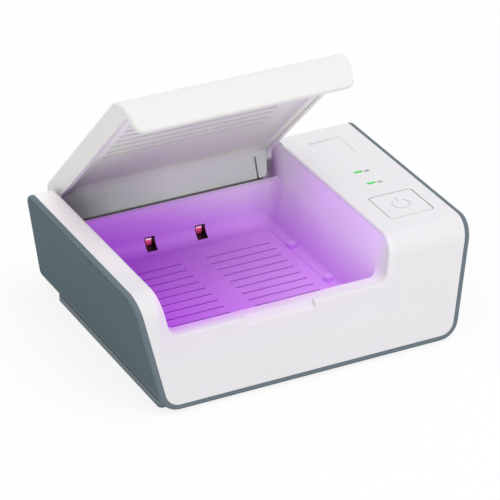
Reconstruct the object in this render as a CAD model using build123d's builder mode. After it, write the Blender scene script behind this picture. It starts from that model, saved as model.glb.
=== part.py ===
"""Hearing aid dryer: a slate and white box with a drying chamber under a hinged lid.

The chamber floor is a slotted grille over a heater and a fan, two UV lamps look in through
windows in the rear wall, and a control panel with a power button stands on the right.

Frame: millimetres, +Z up, +X to the right and +Y to the rear seen by the user in front.
The origin is the centre of the plane that the feet stand on. The lid is drawn shut and
then swung open to the angle that it rests at.
"""

import math
import os

from build123d import *

os.makedirs("parts", exist_ok=True)

# ---------------------------------------------------------------- driving dimensions
# Body envelope
body_width = 150.0          # across the slate sides at the top face
body_depth = 117.5          # front to rear at the underside
body_height = 48.1          # underside to top face
side_lean = 9.65            # each side stands this much further in at the underside
front_lean = 7.1            # the front face stands this much further out at the underside
rear_lean = 8.95            # the rear face stands this much further out at the underside
front_round = 9.5           # round between top and front faces
rear_round = 5.5            # round between top and rear faces
lower_round = 6.2           # lower corners of the white front face
foot_lift = 1.0             # how far the feet stand out below the underside
foot_radius = 5.0
foot_thickness = 1.6

# Walls and gaps
slate_wall = 2.5            # side panels of the slate shell
slate_floor = 2.4           # slate band under the front and rear faces
slate_edge_round = 1.2
shell_wall = 2.2            # white mouldings
seam_gap = 0.1              # between mouldings that are clipped together
plate_gap = 0.15            # round the base plate

# Base plate
plate_side_inset = 9.6      # from the slate sides at the top face
plate_height = 3.2
plate_thickness = 1.8
plate_rim = 1.4
plate_front_inset = 4.5     # from the front edge of the underside
plate_rear_inset = 17.2     # from the rear edge of the underside
plate_edge_round = 0.5

# Drying chamber
strip_width = 9.1           # white strip between left slate panel and chamber
panel_width = 34.6          # control panel between chamber and right slate panel
chamber_floor_height = 14.5  # above the underside
chamber_front_inset = 4.3   # inner face of the front wall, behind the top front edge
chamber_back_inset = 10.1   # inner face of the rear wall, in front of the top rear edge
chamber_corner_round = 4.0
chamber_side_round = 3.0
chamber_cove = 6.0          # between rear wall and floor
lip_drop = 17.4             # top of the front wall, below the top face
back_wall_drop = 13.9       # top of the rear wall, below the top face
back_wall_rim = 1.2         # the rear wall is this thick along its top
back_slot_depth = 3.0       # slot between that rim and the trough of the hinge
opening_edge_round = 1.0
notch_width = 30.3
notch_drop = 3.1
notch_reach = 2.6

# Floor grille
grille_thickness = 1.5
grille_margin = 0.3         # between grille and the rounds of the chamber walls
grille_ledge = 4.5
grille_gap = 0.15
ledge_thickness = 2.0
slot_count = 11
slot_width = 0.8
slot_side_margin = 5.3      # from the slots to the sides of the grille
slot_middle_gap = 10.8      # between the two columns of slots
slot_end_margin = 11.0      # from the first and last slots to the ends of the grille
peg_radius = 2.0
peg_rise = 1.9
peg_spacing = 31.5
peg_from_back = 24.5        # rear peg in front of the rear wall

# Lid
lid_gap = 0.4               # between lid and the opening that it shuts
lid_rear_gap = 0.9          # the same beside the hinge, where the lid turns
lid_side_depth = 8.6        # height of the lid's side walls
lid_lower_gap = 0.6         # between flap and front wall
lid_corner_round = 4.0
lid_edge_round = 1.2
hinge_inset = 0.2           # hinge axis in front of the top rear edge
hinge_drop = 12.3           # hinge axis below the top face
lid_open_angle = 44.85      # angle of the lid at rest
pin_radius = 1.25
pin_length = 10.0
pin_bearing = 4.5           # length of each pin inside the lid
pin_clearance = 0.05
ear_radius = 3.0            # round the hinge pins
flank_round = 4.0           # between the flanks of the hinge and the side walls of the lid
trough_gap = 0.4            # between the trough and what the lid swings through it
liner_thickness = 1.5
liner_drop = 5.0            # upper face of the liner below the top face
liner_gap = 0.12
liner_cove = 5.0            # inside the rims along both sides of the liner
liner_rim_lift = 0.4        # rims end this much above the side walls of the lid
apron_inset = 9.0           # apron starts this much in front of the hinge axis
apron_toe_inset = 3.8       # its lower edge in front of the hinge axis
apron_toe_drop = 6.7        # its lower edge below the hinge axis
apron_cove = 4.0            # between liner and apron
apron_round = 3.0           # lower corners of the apron
slit_width = 0.8            # slit near the right end of the apron
slit_inset = 7.5            # from the side of the lid
slit_drop = 3.5             # slit starts this much below the liner
ridge_count = 9
ridge_pitch = 5.9
ridge_height = 0.6
ridge_width = 1.8
ridge_front_inset = 9.8     # first ridge behind the flap
ridge_side_gap = 2.0        # ridges start this far from the left rim
ridge_length = 74.0

# Control panel
battery_width = 14.5
battery_depth = 16.3
battery_recess = 1.0        # depth of the recess at its left end
battery_shallow = 0.15      # depth of the recess at its right end
battery_right_gap = 10.0    # from the recess to the white edge on the right
battery_back_gap = 12.7     # from the recess to the top rear edge
button_width = 19.6
button_depth = 19.3
button_round = 1.5
button_gap = 0.3
button_right_gap = 6.5
button_front_gap = 15.3
button_flange = 1.2
symbol_radius = 4.0
symbol_line = 0.6
symbol_depth = 0.3
light_width = 4.0
light_depth = 1.3
light_gap = 0.05
light_right_gap = 18.3      # to the middle of the lights
light_front_gaps = (45.9, 56.8)

# Boards, lamps, heater and fan
board_thickness = 1.6
panel_board_drop = 8.3
switch_size = 6.0
switch_height = 3.1
plunger_radius = 1.6
window_width = 4.7
window_height = 5.2
window_bottom = 15.1        # above the underside
window_reach = 3.3          # how far the window cuts into the cove
window_spread = 11.6
lamp_width = 8.0
lamp_height = 10.5
lamp_depth = 4.4
fan_size = 40.0
fan_height = 6.5
fan_bore = 18.6
rotor_hub_radius = 8.5
rotor_radius = 17.6
blade_count = 9
blade_thickness = 0.9
shaft_radius = 1.0
heater_length = 46.0
heater_width = 34.0
heater_thickness = 1.5
bracket_thickness = 0.8
bracket_width = 7.0
screw_radius = 1.25
screw_head_radius = 2.6
screw_head_height = 1.4
boss_radius = 3.0
inlet_width = 8.94
inlet_height = 3.26
inlet_depth = 7.3
grille_corner = 2.0
pin_boss_radius = 3.2
pin_boss_length = 6.5
pin_seat = 5.0              # length of each pin inside the shell
small_boss_radius = 2.0
panel_screw_side_inset = 15.5  # from the white edge on the right
panel_screw_inset = 9.6     # from the ends of the base plate
screw_grip = 6.6            # depth of the screw holes in the columns
panel_board_spread = 9.6
panel_post_front_inset = 11.6  # rows of posts behind the top front edge
panel_post_rear_inset = 62.1
lamp_board_spread = 21.0
lamp_lower = 1.2            # lamp centre below the window centre
lamp_gap = 0.1
inlet_side_inset = 16.5     # from the white edge on the right
inlet_gap = 0.2
inlet_wall = 0.4
inlet_tongue = 0.7
magnet_radius = 2.5
magnet_thickness = 2.0
magnet_inset = 12.0         # from the right side of the lid
plate_corner = 2.0
foot_side_inset = 8.0       # feet from the edges of the base plate
foot_end_inset = 20.0
plate_boss_radius = 4.4
head_clearance = 0.2
screw_slack = 0.02          # between screw and hole, on the radius
small_screw_radius = 0.8
small_screw_grip = 4.0
small_head_radius = 1.5
small_head_height = 1.0
intake_count = 7
intake_pitch = 4.8
intake_width = 2.4
intake_radius = 17.0
fan_wall = 1.2
fan_wall_height = 2.2
fan_gap = 0.15
spider_thickness = 1.2
arm_width = 2.5
rotor_gap = 0.3
bearing_clearance = 0.05
blade_turn = 28.0           # each blade leans back by this angle
flange_rim = 1.0
flange_drop = 0.05
plunger_sink = 0.5          # length of plunger inside the switch at rest
plunger_bore_depth = 1.6
plunger_clearance = 0.05
board_notch_gap = 0.4
led_width = 3.0
led_depth = 1.2
led_height = 1.2
sensor_width = 1.5
sensor_depth = 3.0
sensor_height = 3.2
panel_board_half_width = 11.8
panel_board_end = 3.0       # board beyond its front row of posts
panel_board_length = 56.0
main_board_z = 7.0
main_board_side_inset = 11.7  # from the white edge on the right
main_board_overhang = 4.2   # behind the top rear edge
main_board_width = 24.8
main_board_length = 74.0
main_post_inset = 3.0
main_post_rear_inset = 32.0  # second row of posts, from the rear end of the board
component_pitch = 11.5
coil_size = 9.0
coil_height = 4.5
capacitor_radius = 4.0
capacitor_height = 10.0
chip_size = 7.0
chip_height = 1.2
lamp_board_half_width = 25.0
lamp_board_low_z = 7.5
lamp_board_high_z = 24.8
lamp_slant = 3.0
heater_strip_spread = 11.0
heater_strip_length = 80.0
heater_slot_count = 5
heater_slot_pitch = 6.2
heater_slot_width = 2.4
heater_slot_length = 38.0

# ---------------------------------------------------------------- places worked out
base_z = foot_lift
top_z = base_z + body_height
side_slope = side_lean / body_height
front_slope = front_lean / body_height
rear_slope = rear_lean / body_height
front_top_y = front_lean - body_depth / 2
rear_top_y = body_depth / 2 - rear_lean
slate_half = body_width / 2
shell_half = slate_half - slate_wall
reach = body_width          # long enough to pass right through the body

chamber_left = strip_width - shell_half
chamber_right = shell_half - panel_width
chamber_middle = (chamber_left + chamber_right) / 2
floor_z = base_z + chamber_floor_height
lip_z = top_z - lip_drop
back_wall_z = top_z - back_wall_drop
chamber_front_y = front_top_y + chamber_front_inset
chamber_back_y = rear_top_y - chamber_back_inset
ledge_z = floor_z - grille_thickness
tub_low_z = ledge_z - ledge_thickness

hinge_y = rear_top_y - hinge_inset
hinge_z = top_z - hinge_drop
hinge_axis = Axis((0, hinge_y, hinge_z), (1, 0, 0))
lid_left = chamber_left + lid_gap
lid_right = chamber_right - lid_gap
lid_low_z = lip_z + lid_lower_gap
lid_edge_z = top_z - lid_side_depth

trough_radius = math.hypot(apron_toe_inset, apron_toe_drop) + trough_gap
trough_low_z = hinge_z - trough_radius - shell_wall
back_slot_z = back_wall_z - back_slot_depth
rear_room_left = chamber_left - (lid_rear_gap - lid_gap)
rear_room_right = chamber_right + (lid_rear_gap - lid_gap)
hinge_left_x = rear_room_left + (top_z - hinge_z) * side_slope
hinge_right_x = rear_room_right - (top_z - hinge_z) * side_slope

plate_half_width = slate_half - plate_side_inset
plate_front_y = -body_depth / 2 + plate_front_inset
plate_rear_y = body_depth / 2 - plate_rear_inset
plate_depth = plate_rear_y - plate_front_y
plate_middle_y = (plate_front_y + plate_rear_y) / 2
plate_floor_z = base_z + plate_thickness
plate_rim_z = base_z + plate_height
column_z = plate_rim_z + plate_gap

grille_width = chamber_right - chamber_left - 2 * (
    (top_z - floor_z) * side_slope + chamber_side_round + grille_margin
)
grille_front_y = chamber_front_y + chamber_side_round + grille_margin
grille_rear_y = chamber_back_y - chamber_cove - grille_margin
grille_depth = grille_rear_y - grille_front_y
grille_middle_y = (grille_front_y + grille_rear_y) / 2
slot_length = (grille_width - slot_middle_gap) / 2 - slot_side_margin
slot_spread = (slot_length + slot_middle_gap) / 2
slot_pitch = (grille_depth - 2 * slot_end_margin) / (slot_count - 1)
peg_x = chamber_middle + grille_width / 2 + peg_radius - 0.5
peg_places = [chamber_back_y - peg_from_back, chamber_back_y - peg_from_back - peg_spacing]
window_places = [chamber_middle - window_spread, chamber_middle + window_spread]

tub_screw_x = (grille_width - grille_ledge) / 2
tub_screw_y = (grille_depth - grille_ledge) / 2
tub_screw_places = [
    (chamber_middle + sx * tub_screw_x, grille_middle_y + sy * tub_screw_y)
    for sx in (-1, 1)
    for sy in (-1, 1)
]
panel_screw_places = [
    (shell_half - panel_screw_side_inset, plate_middle_y + sy * (plate_depth / 2 - panel_screw_inset))
    for sy in (-1, 1)
]

battery_x = shell_half - battery_right_gap - battery_width / 2
battery_y = rear_top_y - battery_back_gap - battery_depth / 2
button_x = shell_half - button_right_gap - button_width / 2
button_y = front_top_y + button_front_gap + button_depth / 2
light_places = [(shell_half - light_right_gap, front_top_y + gap) for gap in light_front_gaps]

inlet_x = shell_half - inlet_side_inset
inlet_z = main_board_z + board_thickness + inlet_height / 2
main_middle_x = shell_half - main_board_side_inset - main_board_width / 2
main_middle_y = rear_top_y + main_board_overhang - main_board_length / 2
main_front_y = main_middle_y - main_board_length / 2
main_rear_y = main_middle_y + main_board_length / 2
main_post_places = [
    (main_middle_x + sx * (main_board_width / 2 - main_post_inset), y)
    for sx in (-1, 1)
    for y in (main_front_y + main_post_inset, main_rear_y - main_post_rear_inset)
]
panel_board_z = top_z - panel_board_drop
panel_board_places = [
    (button_x + sx * panel_board_spread, y)
    for sx in (-1, 1)
    for y in (front_top_y + panel_post_front_inset, front_top_y + panel_post_rear_inset)
]
lamp_middle_z = base_z + window_bottom + window_height / 2 - lamp_lower
lamp_front_y = chamber_back_y + shell_wall + lamp_gap
lamp_board_y = lamp_front_y + lamp_depth
lamp_board_back_y = lamp_board_y + board_thickness
lamp_board_places = [(chamber_middle + sx * lamp_board_spread, lamp_middle_z) for sx in (-1, 1)]


def front_at(z):
    """Y of the front face at height z."""
    return front_top_y - (top_z - z) * front_slope


def rear_at(z):
    """Y of the rear face at height z."""
    return rear_top_y + (top_z - z) * rear_slope


def lean_in(z):
    """How far a side wall stands in at height z, compared with the top."""
    return (top_z - z) * side_slope


def front_view(left, right, low, high, corner=0.0):
    """Front outline between two side walls, given by their X at the top face."""
    with BuildSketch(Plane.XZ) as outline:
        with BuildLine():
            Polyline(
                (left + lean_in(high), high),
                (left + lean_in(low), low),
                (right - lean_in(low), low),
                (right - lean_in(high), high),
                close=True,
            )
        make_face()
        if corner > 0:
            fillet(outline.vertices().group_by(Axis.Y)[0], corner)
    return outline.sketch


def side_view(inset=0.0, low=base_z):
    """Side outline of the body, moved inwards by inset."""
    high = top_z - inset
    with BuildSketch(Plane.YZ) as outline:
        with BuildLine():
            Polyline(
                (front_at(low) + inset, low),
                (front_at(high) + inset, high),
                (rear_at(high) - inset, high),
                (rear_at(low) - inset, low),
                close=True,
            )
        make_face()
        fillet(outline.vertices().group_by(Axis.Y)[-1].sort_by(Axis.X)[-1], rear_round - inset)
        fillet(outline.vertices().group_by(Axis.Y)[-1].sort_by(Axis.X)[0], front_round - inset)
    return outline.sketch


def yz_face(*points):
    """A face on the YZ plane with the given corners."""
    with BuildSketch(Plane.YZ) as outline:
        with BuildLine():
            Polyline(*points, close=True)
        make_face()
    return outline.sketch


# ---------------------------------------------------------------- slate side shell
with BuildPart() as plate_room:
    with BuildSketch(Plane.XY):
        with Locations((0, plate_middle_y)):
            Rectangle(2 * (plate_half_width + plate_gap), plate_depth + 2 * plate_gap)
    extrude(amount=plate_rim_z + plate_gap)

with BuildPart() as side_shell:
    extrude(
        front_view(-slate_half, slate_half, base_z, top_z, lower_round + slate_wall),
        amount=reach,
        both=True,
    )
    extrude(
        front_view(-shell_half, shell_half, base_z + slate_floor, top_z + 1, lower_round),
        amount=reach,
        both=True,
        mode=Mode.SUBTRACT,
    )
    extrude(side_view(), amount=reach, both=True, mode=Mode.INTERSECT)
    # One smooth chain of edges runs round both side panels and the band below
    fillet(
        side_shell.edges().filter_by(Axis.Y).group_by(Axis.Z)[-1].sort_by(Axis.X)[0],
        slate_edge_round,
    )
    add(plate_room.part, mode=Mode.SUBTRACT)
side_shell.part.label = "side_shell"
export_step(side_shell.part, "parts/side_shell.step")

# ---------------------------------------------------------------- white top shell
with BuildPart() as shell_room:
    extrude(
        front_view(shell_wall - shell_half, shell_half - shell_wall, -base_z, top_z),
        amount=reach,
        both=True,
    )
    extrude(side_view(inset=shell_wall, low=-base_z), amount=reach, both=True, mode=Mode.INTERSECT)

# Chamber walls, the front lip and the block that carries the hinge, still solid
with BuildPart() as chamber_block:
    extrude(
        front_view(chamber_left - shell_wall, chamber_right + shell_wall, tub_low_z, top_z),
        amount=reach,
        both=True,
    )
    extrude(
        yz_face(
            (front_at(lip_z - shell_wall), lip_z - shell_wall),
            (front_at(top_z), top_z),
            (rear_at(top_z), top_z),
            (rear_at(trough_low_z), trough_low_z),
            (chamber_back_y + shell_wall, trough_low_z),
            (chamber_back_y + shell_wall, tub_low_z),
            (chamber_front_y - shell_wall, tub_low_z),
            (chamber_front_y - shell_wall, lip_z - shell_wall),
        ),
        amount=reach,
        both=True,
        mode=Mode.INTERSECT,
    )
    with BuildSketch(Plane.YZ.offset(hinge_left_x - pin_boss_length)):
        with Locations((hinge_y, hinge_z)):
            Circle(pin_boss_radius)
    extrude(amount=hinge_right_x - hinge_left_x + 2 * pin_boss_length)
    extrude(side_view(), amount=reach, both=True, mode=Mode.INTERSECT)

# Hollow of the chamber
with BuildPart() as chamber_room:
    extrude(front_view(chamber_left, chamber_right, floor_z, top_z + 1), amount=reach, both=True)
    extrude(
        yz_face(
            (chamber_front_y, floor_z),
            (chamber_front_y, top_z + 1),
            (chamber_back_y, top_z + 1),
            (chamber_back_y, floor_z),
        ),
        amount=reach,
        both=True,
        mode=Mode.INTERSECT,
    )
    floor_edges = chamber_room.edges().group_by(Axis.Z)[0]
    roof_edges = chamber_room.edges().group_by(Axis.Z)[-1]
    fillet(chamber_room.edges() - floor_edges - roof_edges, chamber_corner_round)
    fillet(chamber_room.edges().group_by(Axis.Z)[0], chamber_side_round)
    with BuildSketch(Plane.YZ) as cove_view:
        with Locations(((chamber_front_y + chamber_back_y) / 2, floor_z)):
            Rectangle(
                chamber_back_y - chamber_front_y,
                top_z + 1 - floor_z,
                align=(Align.CENTER, Align.MIN),
            )
        fillet(cove_view.vertices().group_by(Axis.Y)[0].sort_by(Axis.X)[-1], chamber_cove)
    extrude(amount=reach, both=True, mode=Mode.INTERSECT)

# Room for the lid: over the front lip, over the rear wall and round the hinge
with BuildPart() as lid_front_room:
    extrude(
        front_view(chamber_left, chamber_right, lip_z, top_z + 1, lid_corner_round + lid_lower_gap),
        amount=reach,
        both=True,
    )
    extrude(
        yz_face(
            (-reach, lip_z),
            (-reach, top_z + 1),
            (chamber_front_y + chamber_corner_round, top_z + 1),
            (chamber_front_y + chamber_corner_round, lip_z),
        ),
        amount=reach,
        both=True,
        mode=Mode.INTERSECT,
    )

with BuildPart() as lid_middle_room:
    extrude(front_view(chamber_left, chamber_right, back_wall_z, top_z + 1), amount=reach, both=True)
    extrude(
        yz_face(
            (chamber_back_y - chamber_corner_round, back_wall_z),
            (chamber_back_y - chamber_corner_round, top_z + 1),
            (hinge_y, top_z + 1),
            (hinge_y, back_wall_z),
        ),
        amount=reach,
        both=True,
        mode=Mode.INTERSECT,
    )

with BuildPart() as lid_rear_room:
    extrude(front_view(rear_room_left, rear_room_right, base_z, top_z + 1), amount=reach, both=True)
    with BuildSketch(Plane.YZ):
        with BuildLine():
            Polyline(
                (chamber_back_y + back_wall_rim, top_z + 1),
                (chamber_back_y + back_wall_rim, back_slot_z),
                (hinge_y, back_slot_z),
                (hinge_y, lip_z),
                (reach, lip_z),
                (reach, top_z + 1),
                close=True,
            )
        make_face()
        with Locations((hinge_y, hinge_z)):
            Circle(trough_radius)
    extrude(amount=reach, both=True, mode=Mode.INTERSECT)

with BuildPart() as top_shell:
    extrude(
        front_view(
            seam_gap - shell_half,
            shell_half - seam_gap,
            base_z + slate_floor + seam_gap,
            top_z,
            lower_round - seam_gap,
        ),
        amount=reach,
        both=True,
    )
    extrude(side_view(), amount=reach, both=True, mode=Mode.INTERSECT)
    add(shell_room.part, mode=Mode.SUBTRACT)
    add(chamber_block.part)
    # Columns for the base screws
    with BuildSketch(Plane.XY.offset(column_z)):
        with Locations(*tub_screw_places):
            Circle(boss_radius)
    extrude(amount=tub_low_z - column_z)
    with BuildSketch(Plane.XY.offset(column_z)):
        with Locations(*panel_screw_places):
            Circle(boss_radius)
    extrude(amount=top_z - shell_wall - column_z)
    # Columns for the panel board, and two posts on the rear wall for the lamp board
    with BuildSketch(Plane.XY.offset(panel_board_z)):
        with Locations(*panel_board_places):
            Circle(small_boss_radius)
    extrude(amount=top_z - shell_wall - panel_board_z)
    with BuildSketch(Plane.XZ.offset(-lamp_board_back_y)):
        with Locations(*lamp_board_places):
            Circle(small_boss_radius)
    extrude(amount=lamp_board_back_y - rear_at(lamp_middle_z) + shell_wall / 2)
    add(plate_room.part, mode=Mode.SUBTRACT)
    # Hollows
    add(chamber_room.part, mode=Mode.SUBTRACT)
    add(lid_front_room.part, mode=Mode.SUBTRACT)
    add(lid_middle_room.part, mode=Mode.SUBTRACT)
    # Soft edge round the opening: along its sides, over the front corners and along the lip
    fillet(
        top_shell.edges().filter_by(Axis.Y).group_by(Axis.Z)[-1].sort_by(Axis.X)[1],
        opening_edge_round,
    )
    add(lid_rear_room.part, mode=Mode.SUBTRACT)
    # Recess and opening for the grille
    with BuildSketch(Plane.XY.offset(ledge_z)):
        with Locations((chamber_middle, grille_middle_y)):
            RectangleRounded(
                grille_width + 2 * grille_gap,
                grille_depth + 2 * grille_gap,
                grille_corner + grille_gap,
            )
    extrude(amount=grille_thickness, mode=Mode.SUBTRACT)
    with BuildSketch(Plane.XY.offset(tub_low_z)):
        with Locations((chamber_middle, grille_middle_y)):
            RectangleRounded(
                grille_width - 2 * grille_ledge,
                grille_depth - 2 * grille_ledge,
                boss_radius + grille_corner,
            )
    extrude(amount=ledge_thickness, mode=Mode.SUBTRACT)
    # Lamp windows through the rear wall and its cove
    with BuildSketch(Plane.XY.offset(base_z + window_bottom)):
        with Locations(*[(x, chamber_back_y - window_reach) for x in window_places]):
            Rectangle(
                window_width,
                window_reach + shell_wall + 1,
                align=(Align.CENTER, Align.MIN),
            )
    extrude(amount=window_height, mode=Mode.SUBTRACT)
    # Finger notch in the front lip
    with BuildSketch(Plane.YZ.offset(chamber_middle - notch_width / 2)):
        with BuildLine():
            Polyline(
                (front_at(lip_z - notch_drop), lip_z - notch_drop),
                (front_at(lip_z) + notch_reach, lip_z),
                (front_at(lip_z) - notch_reach, lip_z),
                (front_at(lip_z) - notch_reach, lip_z - notch_drop),
                close=True,
            )
        make_face()
    extrude(amount=notch_width, mode=Mode.SUBTRACT)
    # Control panel: battery recess, button opening and light openings
    with BuildSketch(Plane.XZ.offset(-battery_y - battery_depth / 2)):
        with BuildLine():
            Polyline(
                (battery_x - battery_width / 2, top_z - battery_recess),
                (battery_x - battery_width / 2, top_z + 1),
                (battery_x + battery_width / 2, top_z + 1),
                (battery_x + battery_width / 2, top_z - battery_shallow),
                close=True,
            )
        make_face()
    extrude(amount=battery_depth, mode=Mode.SUBTRACT)
    with BuildSketch(Plane.XY.offset(top_z)):
        with Locations((button_x, button_y)):
            RectangleRounded(
                button_width + 2 * button_gap,
                button_depth + 2 * button_gap,
                button_round + button_gap,
            )
        with Locations(*light_places):
            RectangleRounded(
                light_width + 2 * light_gap,
                light_depth + 2 * light_gap,
                light_depth / 2,
            )
    extrude(amount=-shell_wall, mode=Mode.SUBTRACT)
    # Hinge pin holes, inlet opening and screw holes
    with BuildSketch(Plane.YZ.offset(hinge_left_x - pin_seat)):
        with Locations((hinge_y, hinge_z)):
            Circle(pin_radius)
    extrude(amount=hinge_right_x - hinge_left_x + 2 * pin_seat, mode=Mode.SUBTRACT)
    with BuildSketch(Plane.XZ.offset(-lamp_board_back_y)):
        with Locations((inlet_x, inlet_z)):
            SlotOverall(inlet_width + 2 * inlet_gap, inlet_height + 2 * inlet_gap)
    extrude(amount=-reach, mode=Mode.SUBTRACT)
    with BuildSketch(Plane.XY.offset(column_z)):
        with Locations(*tub_screw_places, *panel_screw_places):
            Circle(screw_radius)
    extrude(amount=screw_grip, mode=Mode.SUBTRACT)
    with BuildSketch(Plane.XY.offset(panel_board_z)):
        with Locations(*panel_board_places):
            Circle(small_screw_radius)
    extrude(amount=small_screw_grip, mode=Mode.SUBTRACT)
    with BuildSketch(Plane.XZ.offset(-lamp_board_back_y)):
        with Locations(*lamp_board_places):
            Circle(small_screw_radius)
    extrude(amount=-small_screw_grip, mode=Mode.SUBTRACT)
    # Pegs at the foot of the right chamber wall
    for peg_y in peg_places:
        with Locations((peg_x, peg_y, floor_z)):
            Cylinder(peg_radius, peg_rise, align=(Align.CENTER, Align.CENTER, Align.MIN))
top_shell.part.label = "top_shell"
export_step(top_shell.part, "parts/top_shell.step")

# ---------------------------------------------------------------- base plate, feet and base screws
foot_places = [
    (sx * (plate_half_width - foot_side_inset), plate_middle_y + sy * (plate_depth / 2 - foot_end_inset))
    for sx in (-1, 1)
    for sy in (-1, 1)
]
head_seat_z = base_z + screw_head_height + head_clearance

with BuildPart() as base_plate:
    with BuildSketch(Plane.XY.offset(base_z)):
        with Locations((0, plate_middle_y)):
            RectangleRounded(2 * plate_half_width, plate_depth, plate_corner)
    extrude(amount=plate_height)
    fillet(base_plate.faces().sort_by(Axis.Z)[0].edges(), plate_edge_round)
    with BuildSketch(Plane.XY.offset(plate_floor_z)):
        with Locations((0, plate_middle_y)):
            RectangleRounded(
                2 * (plate_half_width - plate_rim),
                plate_depth - 2 * plate_rim,
                plate_corner - plate_rim / 2,
            )
    extrude(amount=plate_height, mode=Mode.SUBTRACT)
    # Bosses under the columns of the top shell, posts for the main board, rim round the fan
    with BuildSketch(Plane.XY.offset(base_z + plate_thickness / 2)):
        with Locations(*tub_screw_places, *panel_screw_places):
            Circle(plate_boss_radius)
    extrude(amount=column_z - base_z - plate_thickness / 2)
    with BuildSketch(Plane.XY.offset(base_z + plate_thickness / 2)):
        with Locations(*main_post_places):
            Circle(small_boss_radius)
    extrude(amount=main_board_z - base_z - plate_thickness / 2)
    with BuildSketch(Plane.XY.offset(base_z + plate_thickness / 2)):
        with Locations((chamber_middle, grille_middle_y)):
            Rectangle(fan_size + 2 * (fan_gap + fan_wall), fan_size + 2 * (fan_gap + fan_wall))
            Rectangle(fan_size + 2 * fan_gap, fan_size + 2 * fan_gap, mode=Mode.SUBTRACT)
    extrude(amount=plate_thickness / 2 + fan_wall_height)
    # Air intake under the fan
    for i in range(intake_count):
        slot_y = (i - (intake_count - 1) / 2) * intake_pitch
        with BuildSketch(Plane.XY):
            with Locations((chamber_middle, grille_middle_y + slot_y)):
                SlotOverall(2 * math.sqrt(intake_radius**2 - slot_y**2), intake_width)
        extrude(amount=plate_floor_z, mode=Mode.SUBTRACT)
    # Foot recesses and screw holes
    with BuildSketch(Plane.XY):
        with Locations(*foot_places):
            Circle(foot_radius)
    extrude(amount=foot_thickness, mode=Mode.SUBTRACT)
    with BuildSketch(Plane.XY):
        with Locations(*tub_screw_places, *panel_screw_places):
            Circle(screw_head_radius + head_clearance)
    extrude(amount=head_seat_z, mode=Mode.SUBTRACT)
    with BuildSketch(Plane.XY):
        with Locations(*tub_screw_places, *panel_screw_places):
            Circle(screw_radius + head_clearance)
    extrude(amount=column_z, mode=Mode.SUBTRACT)
    with BuildSketch(Plane.XY.offset(main_board_z)):
        with Locations(*main_post_places):
            Circle(small_screw_radius)
    extrude(amount=-small_screw_grip, mode=Mode.SUBTRACT)
base_plate.part.label = "base_plate"
export_step(base_plate.part, "parts/base_plate.step")

with BuildPart() as feet:
    with BuildSketch(Plane.XY):
        with Locations(*foot_places):
            Circle(foot_radius)
    extrude(amount=foot_thickness)
    chamfer(feet.faces().group_by(Axis.Z)[0].edges(), foot_lift / 2)
feet.part.label = "feet"
export_step(feet.part, "parts/feet.step")

with BuildPart() as base_screws:
    with BuildSketch(Plane.XY.offset(head_seat_z - screw_head_height)):
        with Locations(*tub_screw_places, *panel_screw_places):
            Circle(screw_head_radius)
            RegularPolygon(screw_radius, 6, mode=Mode.SUBTRACT)
    extrude(amount=screw_head_height / 2)
    with BuildSketch(Plane.XY.offset(head_seat_z - screw_head_height / 2)):
        with Locations(*tub_screw_places, *panel_screw_places):
            Circle(screw_head_radius)
    extrude(amount=screw_head_height / 2)
    with BuildSketch(Plane.XY.offset(head_seat_z)):
        with Locations(*tub_screw_places, *panel_screw_places):
            Circle(screw_radius - screw_slack)
    extrude(amount=column_z - head_seat_z + screw_grip - head_clearance)
base_screws.part.label = "base_screws"
export_step(base_screws.part, "parts/base_screws.step")

# ---------------------------------------------------------------- floor grille
with BuildPart() as floor_grille:
    with BuildSketch(Plane.XY.offset(ledge_z)):
        with Locations((chamber_middle, grille_middle_y)):
            RectangleRounded(grille_width, grille_depth, grille_corner)
    extrude(amount=grille_thickness)
    with BuildSketch(Plane.XY.offset(ledge_z)):
        with Locations((chamber_middle, grille_middle_y)):
            with GridLocations(2 * slot_spread, slot_pitch, 2, slot_count):
                SlotOverall(slot_length, slot_width)
    extrude(amount=grille_thickness, mode=Mode.SUBTRACT)
floor_grille.part.label = "floor_grille"
export_step(floor_grille.part, "parts/floor_grille.step")

# ---------------------------------------------------------------- lid
flap_inner_y = front_at(lid_edge_z) + shell_wall
liner_high_z = top_z - liner_drop
liner_low_z = liner_high_z - liner_thickness
apron_front_y = hinge_y - apron_inset
apron_toe_y = hinge_y - apron_toe_inset
apron_toe_z = hinge_z - apron_toe_drop
apron_slope = (apron_inset - apron_toe_inset) / (liner_low_z - apron_toe_z)
flank_high_y = apron_front_y + (liner_low_z - lid_edge_z) * apron_slope
flank_low_y = apron_front_y + (liner_low_z - lid_low_z + 1) * apron_slope
ear_left_x = lid_left + lean_in(hinge_z)
ear_right_x = lid_right - lean_in(hinge_z)

# Hollow of the lid, which leaves an ear round each hinge pin
with BuildPart() as lid_room:
    extrude(
        front_view(lid_left + shell_wall, lid_right - shell_wall, lid_low_z - 1, top_z - shell_wall),
        amount=reach,
        both=True,
    )
    extrude(side_view(inset=shell_wall), amount=reach, both=True, mode=Mode.INTERSECT)
    for ear_start_x in (ear_left_x, ear_right_x - pin_bearing):
        with BuildSketch(Plane.YZ.offset(ear_start_x)):
            with Locations((hinge_y, hinge_z)):
                Circle(ear_radius)
        extrude(amount=pin_bearing, mode=Mode.SUBTRACT)

# What the side walls leave free between the flap and the flanks beside the apron
with BuildPart() as side_cutout:
    with BuildSketch(Plane.YZ) as cutout_view:
        with BuildLine():
            Polyline(
                (front_at(lid_low_z - 1) + shell_wall, lid_low_z - 1),
                (flap_inner_y, lid_edge_z),
                (flank_high_y, lid_edge_z),
                (flank_low_y, lid_low_z - 1),
                close=True,
            )
        make_face()
        fillet(cutout_view.vertices().group_by(Axis.Y)[-1].sort_by(Axis.X)[-1], flank_round)
    extrude(amount=reach, both=True)

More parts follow.
